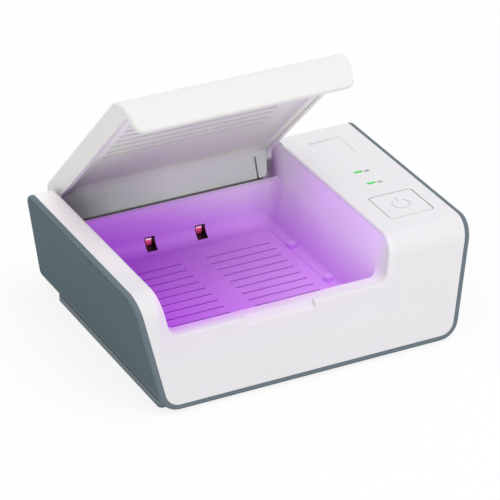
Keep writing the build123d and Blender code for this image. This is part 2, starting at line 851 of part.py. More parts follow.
with BuildPart() as lid_shell:
    extrude(
        front_view(lid_left, lid_right, lid_low_z, top_z, lid_corner_round),
        amount=reach,
        both=True,
    )
    extrude(side_view(), amount=reach, both=True, mode=Mode.INTERSECT)
    # One smooth chain of edges runs along both sides, the flap and the skirt
    fillet(
        lid_shell.edges().filter_by(Axis.Y).group_by(Axis.Z)[-1].sort_by(Axis.X)[0],
        lid_edge_round,
    )
    add(lid_room.part, mode=Mode.SUBTRACT)
    add(side_cutout.part, mode=Mode.SUBTRACT)
    with BuildSketch(Plane.YZ.offset(-reach)):
        with Locations((hinge_y, hinge_z)):
            Circle(pin_radius + pin_clearance)
    extrude(amount=2 * reach, mode=Mode.SUBTRACT)
lid_shell.part = lid_shell.part.rotate(hinge_axis, -lid_open_angle)
lid_shell.part.label = "lid_shell"
export_step(lid_shell.part, "parts/lid_shell.step")

# ---------------------------------------------------------------- lid liner and magnet
liner_left = lid_left + shell_wall + liner_gap
liner_right = lid_right - shell_wall - liner_gap
rim_low_z = lid_edge_z + liner_rim_lift
liner_inset = shell_wall + liner_gap
liner_rear_y = apron_front_y + liner_thickness
cove_front_y = apron_front_y - 2 * apron_cove
slit_x = lid_right - lean_in(hinge_z) - slit_inset
ridge_left_x = liner_left + lean_in(liner_low_z) + liner_thickness + ridge_side_gap
ridge_places = [front_at(liner_low_z) + ridge_front_inset + ridge_pitch * i for i in range(ridge_count)]

# Hollow under the liner, with a cove along each side
with BuildPart() as liner_room:
    extrude(
        front_view(
            liner_left + liner_thickness,
            liner_right - liner_thickness,
            apron_toe_z,
            liner_low_z,
        ),
        amount=reach,
        both=True,
    )
    fillet(liner_room.edges().filter_by(Axis.Y).group_by(Axis.Z)[-1], liner_cove)

# Apron that runs from the liner down to the hinge, with a slit near its right end
with BuildPart() as apron:
    with BuildSketch(Plane.YZ) as apron_view:
        with BuildLine():
            Polyline(
                (cove_front_y, liner_low_z),
                (apron_front_y, liner_low_z),
                (apron_toe_y, apron_toe_z),
                (apron_toe_y + liner_thickness, apron_toe_z + liner_thickness / 2),
                (liner_rear_y, liner_high_z),
                (cove_front_y, liner_high_z),
                close=True,
            )
        make_face()
        fillet(apron_view.vertices().sort_by_distance((apron_front_y, liner_low_z))[0], apron_cove)
    extrude(amount=reach, both=True)
    extrude(
        front_view(liner_left, liner_right, apron_toe_z, liner_high_z, apron_round),
        amount=reach,
        both=True,
        mode=Mode.INTERSECT,
    )
    with BuildSketch(Plane.XY.offset(apron_toe_z)):
        with Locations((slit_x, apron_front_y)):
            Rectangle(slit_width, reach, align=(Align.CENTER, Align.MIN))
    extrude(amount=liner_low_z - slit_drop - apron_toe_z, mode=Mode.SUBTRACT)

with BuildPart() as lid_liner:
    extrude(front_view(liner_left, liner_right, rim_low_z, liner_high_z), amount=reach, both=True)
    add(liner_room.part, mode=Mode.SUBTRACT)
    # Side outline: a plate whose rims reach down beside the flap
    extrude(
        yz_face(
            (front_at(rim_low_z) + liner_inset, rim_low_z),
            (front_at(liner_high_z) + liner_inset, liner_high_z),
            (liner_rear_y, liner_high_z),
            (liner_rear_y, rim_low_z),
        ),
        amount=reach,
        both=True,
        mode=Mode.INTERSECT,
    )
    extrude(side_view(inset=liner_inset), amount=reach, both=True, mode=Mode.INTERSECT)
    add(apron.part)
    # Ridges
    with BuildSketch(Plane.XY.offset(liner_low_z)):
        with Locations(*[(ridge_left_x, y) for y in ridge_places]):
            Rectangle(ridge_length, ridge_width, align=(Align.MIN, Align.CENTER))
    extrude(amount=-ridge_height)
lid_liner.part = lid_liner.part.rotate(hinge_axis, -lid_open_angle)
lid_liner.part.label = "lid_liner"
export_step(lid_liner.part, "parts/lid_liner.step")

with BuildPart() as lid_magnet:
    with BuildSketch(Plane.XY.offset(liner_high_z)):
        with Locations((liner_right - magnet_inset, ridge_places[1])):
            Circle(magnet_radius)
    extrude(amount=magnet_thickness)
lid_magnet.part = lid_magnet.part.rotate(hinge_axis, -lid_open_angle)
lid_magnet.part.label = "lid_magnet"
export_step(lid_magnet.part, "parts/lid_magnet.step")

# ---------------------------------------------------------------- hinge pins
with BuildPart() as hinge_pins:
    for pin_start_x in (hinge_left_x - pin_seat, hinge_right_x + pin_seat - pin_length):
        with BuildSketch(Plane.YZ.offset(pin_start_x)):
            with Locations((hinge_y, hinge_z)):
                Circle(pin_radius)
        extrude(amount=pin_length)
hinge_pins.part.label = "hinge_pins"
export_step(hinge_pins.part, "parts/hinge_pins.step")

# ---------------------------------------------------------------- power button and switch
flange_high_z = top_z - shell_wall - flange_drop
flange_low_z = flange_high_z - button_flange
switch_high_z = panel_board_z + switch_height

with BuildPart() as power_button:
    with BuildSketch(Plane.XY.offset(flange_low_z)):
        with Locations((button_x, button_y)):
            RectangleRounded(
                button_width + 2 * flange_rim,
                button_depth + 2 * flange_rim,
                button_round,
            )
    extrude(amount=button_flange)
    with BuildSketch(Plane.XY.offset(flange_high_z)):
        with Locations((button_x, button_y)):
            RectangleRounded(button_width, button_depth, button_round)
    extrude(amount=top_z - flange_high_z)
    chamfer(power_button.faces().sort_by(Axis.Z)[-1].edges(), symbol_depth / 2)
    # Engraved power symbol: an open ring with a bar in its gap
    with BuildSketch(Plane.XY.offset(top_z)):
        with Locations((button_x, button_y)):
            Circle(symbol_radius)
            Circle(symbol_radius - symbol_line, mode=Mode.SUBTRACT)
            with Locations((0, symbol_radius)):
                Rectangle(symbol_radius, symbol_radius, mode=Mode.SUBTRACT)
                SlotOverall(symbol_radius, symbol_line, rotation=90)
    extrude(amount=-symbol_depth, mode=Mode.SUBTRACT)
power_button.part.label = "power_button"
export_step(power_button.part, "parts/power_button.step")

with BuildPart() as switch_plunger:
    with BuildSketch(Plane.XY.offset(switch_high_z - plunger_sink)):
        with Locations((button_x, button_y)):
            Circle(plunger_radius)
    extrude(amount=flange_low_z - switch_high_z + plunger_sink)
switch_plunger.part.label = "switch_plunger"
export_step(switch_plunger.part, "parts/switch_plunger.step")

with BuildPart() as power_switch:
    with BuildSketch(Plane.XY.offset(panel_board_z)):
        with Locations((button_x, button_y)):
            Rectangle(switch_size, switch_size)
    extrude(amount=switch_height)
    chamfer(power_switch.edges().filter_by(Axis.Z), symbol_line)
    with BuildSketch(Plane.XY.offset(switch_high_z)):
        with Locations((button_x, button_y)):
            Circle(plunger_radius + plunger_clearance)
    extrude(amount=-plunger_bore_depth, mode=Mode.SUBTRACT)
power_switch.part.label = "power_switch"
export_step(power_switch.part, "parts/power_switch.step")

# ---------------------------------------------------------------- control board and lights
panel_board_front_y = front_top_y + panel_post_front_inset - panel_board_end
panel_board_middle_y = panel_board_front_y + panel_board_length / 2
led_z = panel_board_z + led_height

with BuildPart() as control_board:
    with BuildSketch(Plane.XY.offset(panel_board_z)):
        with Locations((button_x, panel_board_middle_y)):
            Rectangle(2 * panel_board_half_width, panel_board_length)
        with Locations(*panel_screw_places):
            Circle(boss_radius + board_notch_gap, mode=Mode.SUBTRACT)
        with Locations(*panel_board_places):
            Circle(small_screw_radius, mode=Mode.SUBTRACT)
    extrude(amount=-board_thickness)
control_board.part.label = "control_board"
export_step(control_board.part, "parts/control_board.step")

with BuildPart() as indicator_leds:
    with BuildSketch(Plane.XY.offset(panel_board_z)):
        with Locations(*light_places):
            Rectangle(led_width, led_depth)
    extrude(amount=led_height)
indicator_leds.part.label = "indicator_leds"
export_step(indicator_leds.part, "parts/indicator_leds.step")

for light_name, light_place in zip(("front", "rear"), light_places):
    with BuildPart() as light_pipe:
        with BuildSketch(Plane.XY.offset(led_z)):
            with Locations(light_place):
                RectangleRounded(light_width, light_depth, light_depth / 2 - light_gap)
        extrude(amount=top_z - led_z)
        with BuildSketch(Plane.XY.offset(flange_low_z)):
            with Locations(light_place):
                Rectangle(light_width + flange_rim, light_depth + flange_rim)
        extrude(amount=button_flange)
    light_pipe.part.label = f"light_pipe_{light_name}"
    export_step(light_pipe.part, f"parts/light_pipe_{light_name}.step")

with BuildPart() as lid_sensor:
    with BuildSketch(Plane.XY.offset(panel_board_z)):
        with Locations((button_x - panel_board_half_width, button_y)):
            Rectangle(sensor_width, sensor_depth, align=(Align.MIN, Align.CENTER))
    extrude(amount=sensor_height)
lid_sensor.part.label = "lid_sensor"
export_step(lid_sensor.part, "parts/lid_sensor.step")

# ---------------------------------------------------------------- main board and inlet
main_top_z = main_board_z + board_thickness

with BuildPart() as main_board:
    with BuildSketch(Plane.XY.offset(main_board_z)):
        with Locations((main_middle_x, main_middle_y)):
            Rectangle(main_board_width, main_board_length)
        with Locations(*panel_screw_places):
            Circle(boss_radius + board_notch_gap, mode=Mode.SUBTRACT)
        with Locations(*main_post_places):
            Circle(small_screw_radius, mode=Mode.SUBTRACT)
    extrude(amount=board_thickness)
main_board.part.label = "main_board"
export_step(main_board.part, "parts/main_board.step")

# Coil, capacitor, chip and regulator stand in a row on the main board
with BuildPart() as board_components:
    with BuildSketch(Plane.XY.offset(main_top_z)):
        with Locations((main_middle_x, main_middle_y - 2 * component_pitch)):
            RectangleRounded(coil_size, coil_size, coil_size / 8)
    extrude(amount=coil_height)
    with BuildSketch(Plane.XY.offset(main_top_z)):
        with Locations((main_middle_x, main_middle_y - component_pitch)):
            Circle(capacitor_radius)
    extrude(amount=capacitor_height)
    with BuildSketch(Plane.XY.offset(main_top_z)):
        with Locations((main_middle_x, main_middle_y)):
            Rectangle(chip_size, chip_size)
        with Locations((main_middle_x, main_middle_y + chip_size)):
            Rectangle(chip_size, chip_size / 2)
    extrude(amount=chip_height)
board_components.part.label = "board_components"
export_step(board_components.part, "parts/board_components.step")

inlet_rear_y = rear_at(inlet_z + inlet_height / 2) - inlet_gap
with BuildPart() as power_inlet:
    with BuildSketch(Plane.XZ.offset(-inlet_rear_y)):
        with Locations((inlet_x, inlet_z)):
            SlotOverall(inlet_width, inlet_height)
    extrude(amount=inlet_depth)
    with BuildSketch(Plane.XZ.offset(-inlet_rear_y)):
        with Locations((inlet_x, inlet_z)):
            SlotOverall(inlet_width - 2 * inlet_wall, inlet_height - 2 * inlet_wall)
            SlotOverall(inlet_width - 2 * inlet_height, inlet_tongue, mode=Mode.SUBTRACT)
    extrude(amount=inlet_depth - 1, mode=Mode.SUBTRACT)
power_inlet.part.label = "power_inlet"
export_step(power_inlet.part, "parts/power_inlet.step")

# ---------------------------------------------------------------- lamp board and lamps
with BuildPart() as lamp_board:
    with BuildSketch(Plane.XZ.offset(-lamp_board_y)):
        with Locations((chamber_middle, (lamp_board_low_z + lamp_board_high_z) / 2)):
            Rectangle(2 * lamp_board_half_width, lamp_board_high_z - lamp_board_low_z)
        with Locations(*lamp_board_places):
            Circle(small_screw_radius, mode=Mode.SUBTRACT)
    extrude(amount=-board_thickness)
lamp_board.part.label = "lamp_board"
export_step(lamp_board.part, "parts/lamp_board.step")

for lamp_name, lamp_x in zip(("left", "right"), window_places):
    with BuildPart() as uv_lamp:
        with Locations((lamp_x, (lamp_front_y + lamp_board_y) / 2, lamp_middle_z)):
            Box(lamp_width, lamp_depth, lamp_height)
        chamfer(
            uv_lamp.edges().filter_by(Axis.X).group_by(Axis.Z)[-1].sort_by(Axis.Y)[0],
            lamp_slant,
        )
    uv_lamp.part.label = f"uv_lamp_{lamp_name}"
    export_step(uv_lamp.part, f"parts/uv_lamp_{lamp_name}.step")

# ---------------------------------------------------------------- heater
with BuildPart() as heater_bracket:
    with BuildSketch(Plane.XY.offset(tub_low_z - bracket_thickness)):
        with Locations((chamber_middle, grille_middle_y)):
            with GridLocations(0, 2 * heater_strip_spread, 1, 2):
                Rectangle(heater_strip_length, bracket_width)
            with GridLocations(heater_length, 0, 2, 1):
                Rectangle(bracket_width, 2 * heater_strip_spread)
    extrude(amount=bracket_thickness)
heater_bracket.part.label = "heater_bracket"
export_step(heater_bracket.part, "parts/heater_bracket.step")

with BuildPart() as heater_plate:
    with BuildSketch(Plane.XY.offset(tub_low_z)):
        with Locations((chamber_middle, grille_middle_y)):
            RectangleRounded(heater_length, heater_width, grille_corner)
            with GridLocations(0, heater_slot_pitch, 1, heater_slot_count):
                SlotOverall(heater_slot_length, heater_slot_width, mode=Mode.SUBTRACT)
    extrude(amount=heater_thickness)
heater_plate.part.label = "heater_plate"
export_step(heater_plate.part, "parts/heater_plate.step")

# ---------------------------------------------------------------- fan
hub_low_z = plate_floor_z + spider_thickness + rotor_gap
hub_high_z = plate_floor_z + fan_height - rotor_gap

with BuildPart() as fan_frame:
    with BuildSketch(Plane.XY.offset(plate_floor_z)):
        with Locations((chamber_middle, grille_middle_y)):
            RectangleRounded(fan_size, fan_size, plate_corner)
            Circle(fan_bore, mode=Mode.SUBTRACT)
    extrude(amount=fan_height)
    with BuildSketch(Plane.XY.offset(plate_floor_z)):
        with Locations((chamber_middle, grille_middle_y)):
            Circle(rotor_hub_radius)
            for arm_angle in (30, 150, 270):
                with Locations(Location((0, 0), arm_angle)):
                    Rectangle(fan_size / 2, arm_width, align=(Align.MIN, Align.CENTER))
            Circle(shaft_radius + bearing_clearance, mode=Mode.SUBTRACT)
    extrude(amount=spider_thickness)
fan_frame.part.label = "fan_frame"
export_step(fan_frame.part, "parts/fan_frame.step")

with BuildPart() as fan_rotor:
    with BuildSketch(Plane.XY.offset(hub_low_z)):
        with Locations((chamber_middle, grille_middle_y)):
            Circle(rotor_hub_radius)
    extrude(amount=hub_high_z - hub_low_z)
    fillet(fan_rotor.faces().sort_by(Axis.Z)[-1].edges(), rotor_gap)
    with BuildSketch(Plane.XY.offset(hub_low_z)):
        with Locations((chamber_middle, grille_middle_y)):
            with PolarLocations(rotor_hub_radius - 1, blade_count):
                with Locations(Location((0, 0), -blade_turn)):
                    Rectangle(
                        rotor_radius - rotor_hub_radius,
                        blade_thickness,
                        align=(Align.MIN, Align.CENTER),
                    )
    extrude(amount=hub_high_z - hub_low_z - rotor_gap)
    with BuildSketch(Plane.XY.offset(plate_floor_z + rotor_gap)):
        with Locations((chamber_middle, grille_middle_y)):
            Circle(shaft_radius)
    extrude(amount=hub_low_z - plate_floor_z)
fan_rotor.part.label = "fan_rotor"
export_step(fan_rotor.part, "parts/fan_rotor.step")

# ---------------------------------------------------------------- board screws
# Each set: plane of the seat under the heads, places, and the side that the shanks point to
screw_sets = (
    (Plane.XY.offset(panel_board_z - board_thickness), panel_board_places, 1),
    (Plane.XY.offset(main_top_z), main_post_places, -1),
    (Plane.XZ.offset(-lamp_board_y), lamp_board_places, -1),
)
with BuildPart() as board_screws:
    for seat, places, way in screw_sets:
        with BuildSketch(seat):
            with Locations(*places):
                Circle(small_head_radius)
        extrude(amount=-way * small_head_height)
        with BuildSketch(seat):
            with Locations(*places):
                Circle(small_screw_radius - screw_slack)
        extrude(amount=way * (board_thickness + small_screw_grip - head_clearance))
board_screws.part.label = "board_screws"
export_step(board_screws.part, "parts/board_screws.step")
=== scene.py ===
"""Looks of the hearing aid dryer: materials, printed numbers, light, world, floor and camera.

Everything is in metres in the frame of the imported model: +Z up, +X to the user's right,
+Y to the rear, with the origin under the middle of the case on the plane of the feet.
"""

import math

import bpy
from mathutils import Matrix, Vector


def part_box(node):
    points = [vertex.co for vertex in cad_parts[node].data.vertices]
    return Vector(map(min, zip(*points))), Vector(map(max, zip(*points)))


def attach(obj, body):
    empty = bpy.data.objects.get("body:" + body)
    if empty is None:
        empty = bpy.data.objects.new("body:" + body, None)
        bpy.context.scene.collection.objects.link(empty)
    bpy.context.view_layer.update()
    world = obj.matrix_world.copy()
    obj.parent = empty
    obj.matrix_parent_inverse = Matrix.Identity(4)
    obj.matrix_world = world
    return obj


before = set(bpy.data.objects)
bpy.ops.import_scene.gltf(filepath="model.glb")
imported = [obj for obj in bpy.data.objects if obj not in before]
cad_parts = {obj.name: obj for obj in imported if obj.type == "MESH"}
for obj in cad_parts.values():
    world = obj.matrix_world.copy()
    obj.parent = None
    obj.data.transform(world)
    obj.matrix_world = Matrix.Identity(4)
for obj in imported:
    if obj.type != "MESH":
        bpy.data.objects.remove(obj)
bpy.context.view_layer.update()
MM = 0.001

# ---------------------------------------------------------------- camera
CAMERA_AZIMUTH = math.radians(-27.437)
CAMERA_ELEVATION = math.radians(28.787)
CAMERA_ROLL = math.radians(0.35)
CAMERA_TARGET = Vector((-24.96, -51.6, 60.04)) * MM
CAMERA_DISTANCE = 1202.76 * MM
CAMERA_REACH = 20
FOCAL_PIXELS = 3133.4
PHOTO_PIXELS = 500
SENSOR_MM = 36.0

# ---------------------------------------------------------------- light, world and floor
KEY_PLACE = (0.3, -0.8, 2.0)
KEY_AIM = (0.0, 0.0, 0.04)
KEY_SIZE = 1.2
KEY_POWER = 16.0
WORLD_LEVEL = 0.77
FLOOR_SIZE = 8.0
FLOOR_OWN_LIGHT = 0.86
FLOOR_DROP = 0.02 * MM  # keeps the floor from lying in the plane of the feet
FLOOR_COLOUR = (0.92, 0.92, 0.92, 1.0)

# ---------------------------------------------------------------- printed numbers
PRINT_THICKNESS = 0.03 * MM
PRINT_SWELL = 0.03 * MM  # thickens the strokes
DIGIT_HEIGHT = 1.5 * MM
FONT_PER_DIGIT = 1.4  # font size for a digit of height 1
NUMBER_ASIDE = 1.3 * MM  # from the light's right end
NUMBER_FORWARD = 0.6 * MM  # from the light's middle

# ---------------------------------------------------------------- places
GRILLE_LOW, GRILLE_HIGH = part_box("floor_grille")
BUTTON_LOW, BUTTON_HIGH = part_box("power_button")
TOP_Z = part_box("top_shell")[1][2]
LAMP_FACE_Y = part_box("uv_lamp_left")[0][1]
FLOOR_Z = GRILLE_HIGH[2]
CHAMBER_X = (GRILLE_LOW[0] + GRILLE_HIGH[0]) / 2
CHAMBER_HALF = 50.65 * MM
CHAMBER_LEFT = CHAMBER_X - CHAMBER_HALF
CHAMBER_RIGHT = CHAMBER_X + CHAMBER_HALF
CHAMBER_FRONT_Y = -47.35 * MM
CHAMBER_REAR_Y = 39.7 * MM
REAR_RIM_Z = TOP_Z - 13.9 * MM
TROUGH_REAR_Y = CHAMBER_REAR_Y + 13.0 * MM
RIGHT_WALL_X = CHAMBER_X + 46.6 * MM
RIGHT_WALL_END_Y = CHAMBER_REAR_Y + 12.0 * MM
EDGE_ROUND = 2.4 * MM
LIP_Y = (CHAMBER_FRONT_Y - 9.0 * MM, CHAMBER_FRONT_Y + 2.0 * MM)
STRIP_Y = (-35.0 * MM, 10.0 * MM)

WINDOW_SPREAD = 11.6 * MM
WINDOW_HALF = 2.35 * MM
WINDOW_LOW = FLOOR_Z + 0.6 * MM
WINDOW_HIGH = WINDOW_LOW + 5.2 * MM
WINDOW_REACH = 3.6 * MM
WINDOW_MARGIN = 0.1 * MM
LENS_ASIDE = 0.6 * MM
LENS_HALF = (1.1 * MM, 1.5 * MM)
LENS_DEPTH = 0.5 * MM
LENS_Z = (FLOOR_Z + 0.7 * MM, FLOOR_Z + 3.8 * MM)
LENS_CRIMSON_Z = (FLOOR_Z + 1.6 * MM, FLOOR_Z + 2.3 * MM)
LENS_PINK_Z = (FLOOR_Z + 2.8 * MM, FLOOR_Z + 3.3 * MM)
LENS_WAVE = 0.15 * MM

LID_DOWNWARD = (0.0, -0.705, -0.709)  # the way that the open lid's inside faces
LID_LEFT_END_X = CHAMBER_X - 44.5 * MM
LID_RIGHT_END_X = CHAMBER_X + 44.0 * MM
LID_LEFT_CORNER_Z = (TOP_Z + 7.0 * MM, TOP_Z - 2.0 * MM)
LID_RIGHT_CORNER_Z = (TOP_Z - 6.5 * MM, TOP_Z - 8.0 * MM)
RIDGES_X = (CHAMBER_X - 43.5 * MM, CHAMBER_X + 43.5 * MM)
RIDGES_FROM_Z = TOP_Z + 15.0 * MM
LINER_TINT_Z = (TOP_Z + 48.0 * MM, TOP_Z + 18.0 * MM)
LINER_LOW_Z = (TOP_Z + 30.0 * MM, TOP_Z - 4.0 * MM)
LINER_LOWEST_Z = (TOP_Z - 2.0 * MM, TOP_Z - 9.0 * MM)
LINER_CORNER_X = (CHAMBER_X, CHAMBER_LEFT + 3.0 * MM)
LINER_NEAR_LEFT_X = (CHAMBER_X - 27.0 * MM, CHAMBER_X - 39.0 * MM)
LINER_END_X = (CHAMBER_X - 36.0 * MM, CHAMBER_X - 45.0 * MM)

BUTTON_MIDDLE = ((BUTTON_LOW[0] + BUTTON_HIGH[0]) / 2, (BUTTON_LOW[1] + BUTTON_HIGH[1]) / 2)
BUTTON_HALF = (9.8 * MM, 9.65 * MM)
BUTTON_ROUND = 1.5 * MM
BUTTON_DEPTH = 1.5 * MM
SHELL_OUTLINE = (0.25 * MM, 0.55 * MM)  # distances from the button's edge
BUTTON_OUTLINE = (-0.35 * MM, 0.1 * MM)
SYMBOL_Z = (TOP_Z - 0.28 * MM, TOP_Z - 0.2 * MM)


# ---------------------------------------------------------------- colours, linear
def opaque(red, green, blue):
    return (red, green, blue, 1.0)


WHITE = opaque(0.785, 0.77, 0.795)
# painted light on the shell's strip left of the chamber
STRIP_PAINTED_LIGHT = opaque(0.93, 0.90, 0.92)
GRILLE_WHITE = opaque(0.78, 0.78, 0.77)
LID_WHITE = opaque(0.80, 0.80, 0.785)
# painted light and a green counter-tint against the violet light on the lid's inside
LID_INSIDE_COUNTERTINT = opaque(0.86, 0.92, 0.80)
# the liner: a green counter-tint against the chamber's violet light, lighter on the underside
LINER_COUNTERTINT = opaque(0.82, 0.92, 0.79)
LINER_UNDERSIDE_LIGHTENED = opaque(0.96, 0.98, 0.92)
LINER_MIDDLE_COUNTERTINT = opaque(0.81, 0.99, 0.67)
# painted shade on the liner, low down and at the left
LINER_CORNER_SHADE = opaque(0.40, 0.47, 0.37)
LINER_DEEP_SHADE = opaque(0.10, 0.115, 0.095)
# painted shade on the liner's ridges
RIDGE_SHADE_GREY = opaque(0.66, 0.67, 0.66)
SLATE = opaque(0.069, 0.114, 0.14)
# painted highlight on the slate panels' rims
SLATE_RIM_HIGHLIGHT = opaque(0.15, 0.19, 0.215)
# painted light: slate lightened to make up for the little light on the base's downward flank
SLATE_BASE_LIGHTENED = opaque(0.16, 0.20, 0.22)
# the chamber's violet light, painted into base colour and glow
VIOLET_DEEP = opaque(0.474, 0.05, 0.79)
VIOLET_MIDDLE = opaque(0.71, 0.316, 0.926)
VIOLET_PALE = opaque(0.91, 0.877, 0.92)
VIOLET_LIGHT = opaque(0.53, 0.02, 1.0)
SLOT_SHADE = opaque(0.035, 0.022, 0.045)
INK = opaque(0.02, 0.02, 0.028)
SYMBOL_GREY = opaque(0.72, 0.72, 0.73)
# painted shade of the gap round the button
GAP_SHADE_GREY = opaque(0.68, 0.68, 0.69)
LAMP_BLACK = opaque(0.008, 0.006, 0.01)
LENS_PINK = opaque(0.956, 0.515, 0.68)
LENS_CRIMSON = opaque(0.68, 0.061, 0.205)
LENS_ROSE = opaque(0.30, 0.032, 0.102)
LIGHT_GREEN = opaque(0.01, 0.50, 0.02)
LIGHT_GLOW = opaque(0.01, 0.72, 0.05)
DARK_PLASTIC = opaque(0.018, 0.018, 0.02)
RUBBER_BLACK = opaque(0.022, 0.022, 0.022)
LED_WHITE = opaque(0.75, 0.75, 0.65)
BOARD_GREENS = {
    "Color1": opaque(0.012, 0.12, 0.045),
    "Color2": opaque(0.016, 0.16, 0.06),
    "Mortar": opaque(0.008, 0.07, 0.03),
}
BOARD_SPECK = opaque(0.02, 0.2, 0.08)
PIN_STEEL = opaque(0.55, 0.56, 0.58)
NICKEL = opaque(0.6, 0.58, 0.54)
BRACKET_STEEL = opaque(0.5, 0.5, 0.51)
ALUMINIUM = opaque(0.7, 0.7, 0.71)
ZINC = opaque(0.45, 0.46, 0.47)

NOISE_SPAN = (0.3, 0.7)  # where nearly all values of a noise texture lie
BRUSHED = (0.1, 1.0, 1.0)  # stretches a noise into streaks along X


def make_camera():
    """A camera at the photograph's viewing angle."""
    data = bpy.data.cameras.new("photo_camera")
    data.sensor_width = SENSOR_MM
    data.lens = FOCAL_PIXELS / PHOTO_PIXELS * SENSOR_MM
    data.clip_end = CAMERA_REACH
    camera = bpy.data.objects.new("photo_camera", data)
    bpy.context.scene.collection.objects.link(camera)
    turn = (
        Matrix.Rotation(CAMERA_AZIMUTH, 4, "Z")
        @ Matrix.Rotation(math.pi / 2 - CAMERA_ELEVATION, 4, "X")
        @ Matrix.Rotation(CAMERA_ROLL, 4, "Z")
    )
    view_direction = turn @ Vector((0, 0, -1))
    camera.matrix_world = Matrix.Translation(CAMERA_TARGET - view_direction * CAMERA_DISTANCE) @ turn
    bpy.context.scene.camera = camera


# ---------------------------------------------------------------- node helpers
class Nodes:
    """Short calls that add shader nodes to one material and join them."""

    def __init__(self, name):
        self.material = bpy.data.materials.new(name)
        self.material.use_nodes = True
        self.tree = self.material.node_tree
        self.tree.nodes.clear()
        self.shader = self.add("ShaderNodeBsdfPrincipled")
        self.output = self.add("ShaderNodeOutputMaterial")
        self.join(self.shader.outputs[0], self.output.inputs["Surface"])
        self.place = self.add("ShaderNodeTexCoord").outputs["Object"]

    def add(self, kind, **settings):
        node = self.tree.nodes.new(kind)
        for key, value in settings.items():
            setattr(node, key, value)
        return node

    def join(self, source, target):
        self.tree.links.new(source, target)

    def feed(self, value, socket):
        """Sets a socket to a number or colour, or links it to another socket."""
        if isinstance(value, bpy.types.NodeSocket):
            self.join(value, socket)
        else:
            socket.default_value = value

    def give(self, name, value):
        """Sets or links an input of the material's shader."""
        self.feed(value, self.shader.inputs[name])

    def noise(self, scale, detail=3.0, roughness=0.5, stretch=None):
        texture = self.add("ShaderNodeTexNoise")
        texture.inputs["Scale"].default_value = scale
        texture.inputs["Detail"].default_value = detail
        texture.inputs["Roughness"].default_value = roughness
        place = self.place
        if stretch:
            mapping = self.add("ShaderNodeMapping")
            mapping.inputs["Scale"].default_value = stretch
            self.join(self.place, mapping.inputs["Vector"])
            place = mapping.outputs[0]
        self.join(place, texture.inputs["Vector"])
        return texture.outputs[0]

    def spread(self, value, low, high, to_low=0.0, to_high=1.0, smooth=False):
        """Maps a value from one range to another, held at both ends."""
        node = self.add("ShaderNodeMapRange")
        node.interpolation_type = "SMOOTHSTEP" if smooth else "LINEAR"
        self.join(value, node.inputs["Value"])
        limits = {"From Min": low, "From Max": high, "To Min": to_low, "To Max": to_high}
        for socket, number in limits.items():
            node.inputs[socket].default_value = number
        return node.outputs[0]

    def vary(self, noise, low, high):
        """Maps a noise to a range."""
        return self.spread(noise, *NOISE_SPAN, low, high)

    def maths(self, operation, first, second=0.0):
        node = self.add("ShaderNodeMath", operation=operation)
        self.feed(first, node.inputs[0])
        self.feed(second, node.inputs[1])
        return node.outputs[0]

    def product(self, first, *others):
        """Multiplies two or more values."""
        for other in others:
            first = self.maths("MULTIPLY", first, other)
        return first

    def apart(self, value, middle):
        """How far a value lies from a middle, either way."""
        return self.maths("ABSOLUTE", self.maths("SUBTRACT", value, middle))

    def between(self, value, low, high):
        """1 where a value lies between two limits, 0 outside."""
        above = self.maths("GREATER_THAN", value, low)
        return self.product(above, self.maths("LESS_THAN", value, high))

    def mix(self, factor, first, second):
        """Mixes two colours."""
        node = self.add("ShaderNodeMix", data_type="RGBA")
        self.feed(factor, node.inputs[0])
        self.feed(first, node.inputs[6])
        self.feed(second, node.inputs[7])
        return node.outputs[2]

    def axes(self):
        """The three object coordinates as separate sockets."""
        node = self.add("ShaderNodeSeparateXYZ")
        self.join(self.place, node.inputs[0])
        return node.outputs

    def facing(self, axis):
        """How far the surface faces along an axis, either way: 0 to 1."""
        node = self.add("ShaderNodeSeparateXYZ")
        self.join(self.add("ShaderNodeTexCoord").outputs["Normal"], node.inputs[0])
        return self.maths("ABSOLUTE", node.outputs[axis])

    def towards(self, direction):
        """How far the surface faces one direction: -1 to 1."""
        node = self.add("ShaderNodeVectorMath", operation="DOT_PRODUCT")
        self.join(self.add("ShaderNodeTexCoord").outputs["Normal"], node.inputs[0])
        node.inputs[1].default_value = direction
        return node.outputs["Value"]

    def crevice(self, distance):
        """1 on open surfaces, lower in seams and corners."""
        node = self.add("ShaderNodeAmbientOcclusion", samples=8)
        node.inputs["Distance"].default_value = distance
        return node.outputs["AO"]

    def repaint(self, amount, colour):
        """Lays another colour over the shader's base colour."""
        socket = self.shader.inputs["Base Color"]
        self.join(self.mix(amount, socket.links[0].from_socket, colour), socket)

    def bump(self, height, distance, strength):
        node = self.add("ShaderNodeBump")
        node.inputs["Strength"].default_value = strength
        node.inputs["Distance"].default_value = distance
        self.join(height, node.inputs["Height"])
        self.join(node.outputs[0], self.shader.inputs["Normal"])


def shade(colour, factor):
    return opaque(*(channel * factor for channel in colour[:3]))


# ---------------------------------------------------------------- general materials
def moulded(name, colour, roughness, grain, grain_depth, vary, coat=0.0, specular=0.5, seams=0.55):
    """Moulded plastic: spark-eroded grain, slight colour drift, and painted shade in the seams.

    grain is the scale of its noise, grain_depth is in mm, and vary and seams are shares of the
    colour: how far it drifts either way, and what is left of it under the painted shade in the
    seams.
    """
    seam_reach = 0.8 * MM
    rough_fine, rough_broad = 0.05, 0.04
    nodes = Nodes(name)
    fine = nodes.noise(grain, detail=4.0)
    broad = nodes.noise(35.0, detail=5.0, roughness=0.6)
    base = nodes.mix(nodes.vary(broad, 0.0, 1.0), shade(colour, 1 - vary), shade(colour, 1 + vary))
    # painted shade: ambient occlusion darkens the base colour in seams and corners
    seam_shade = nodes.spread(nodes.crevice(seam_reach), 0.15, 0.75)
    nodes.give("Base Color", nodes.mix(seam_shade, shade(colour, seams), base))
    rough = nodes.vary(fine, roughness - rough_fine, roughness + rough_fine)
    nodes.give("Roughness", nodes.maths("ADD", rough, nodes.vary(broad, -rough_broad, rough_broad)))
    nodes.give("Specular IOR Level", specular)
    if coat:
        nodes.give("Coat Weight", coat)
        nodes.give("Coat Roughness", 0.12)
    nodes.bump(fine, grain_depth * MM, 0.6)
    return nodes


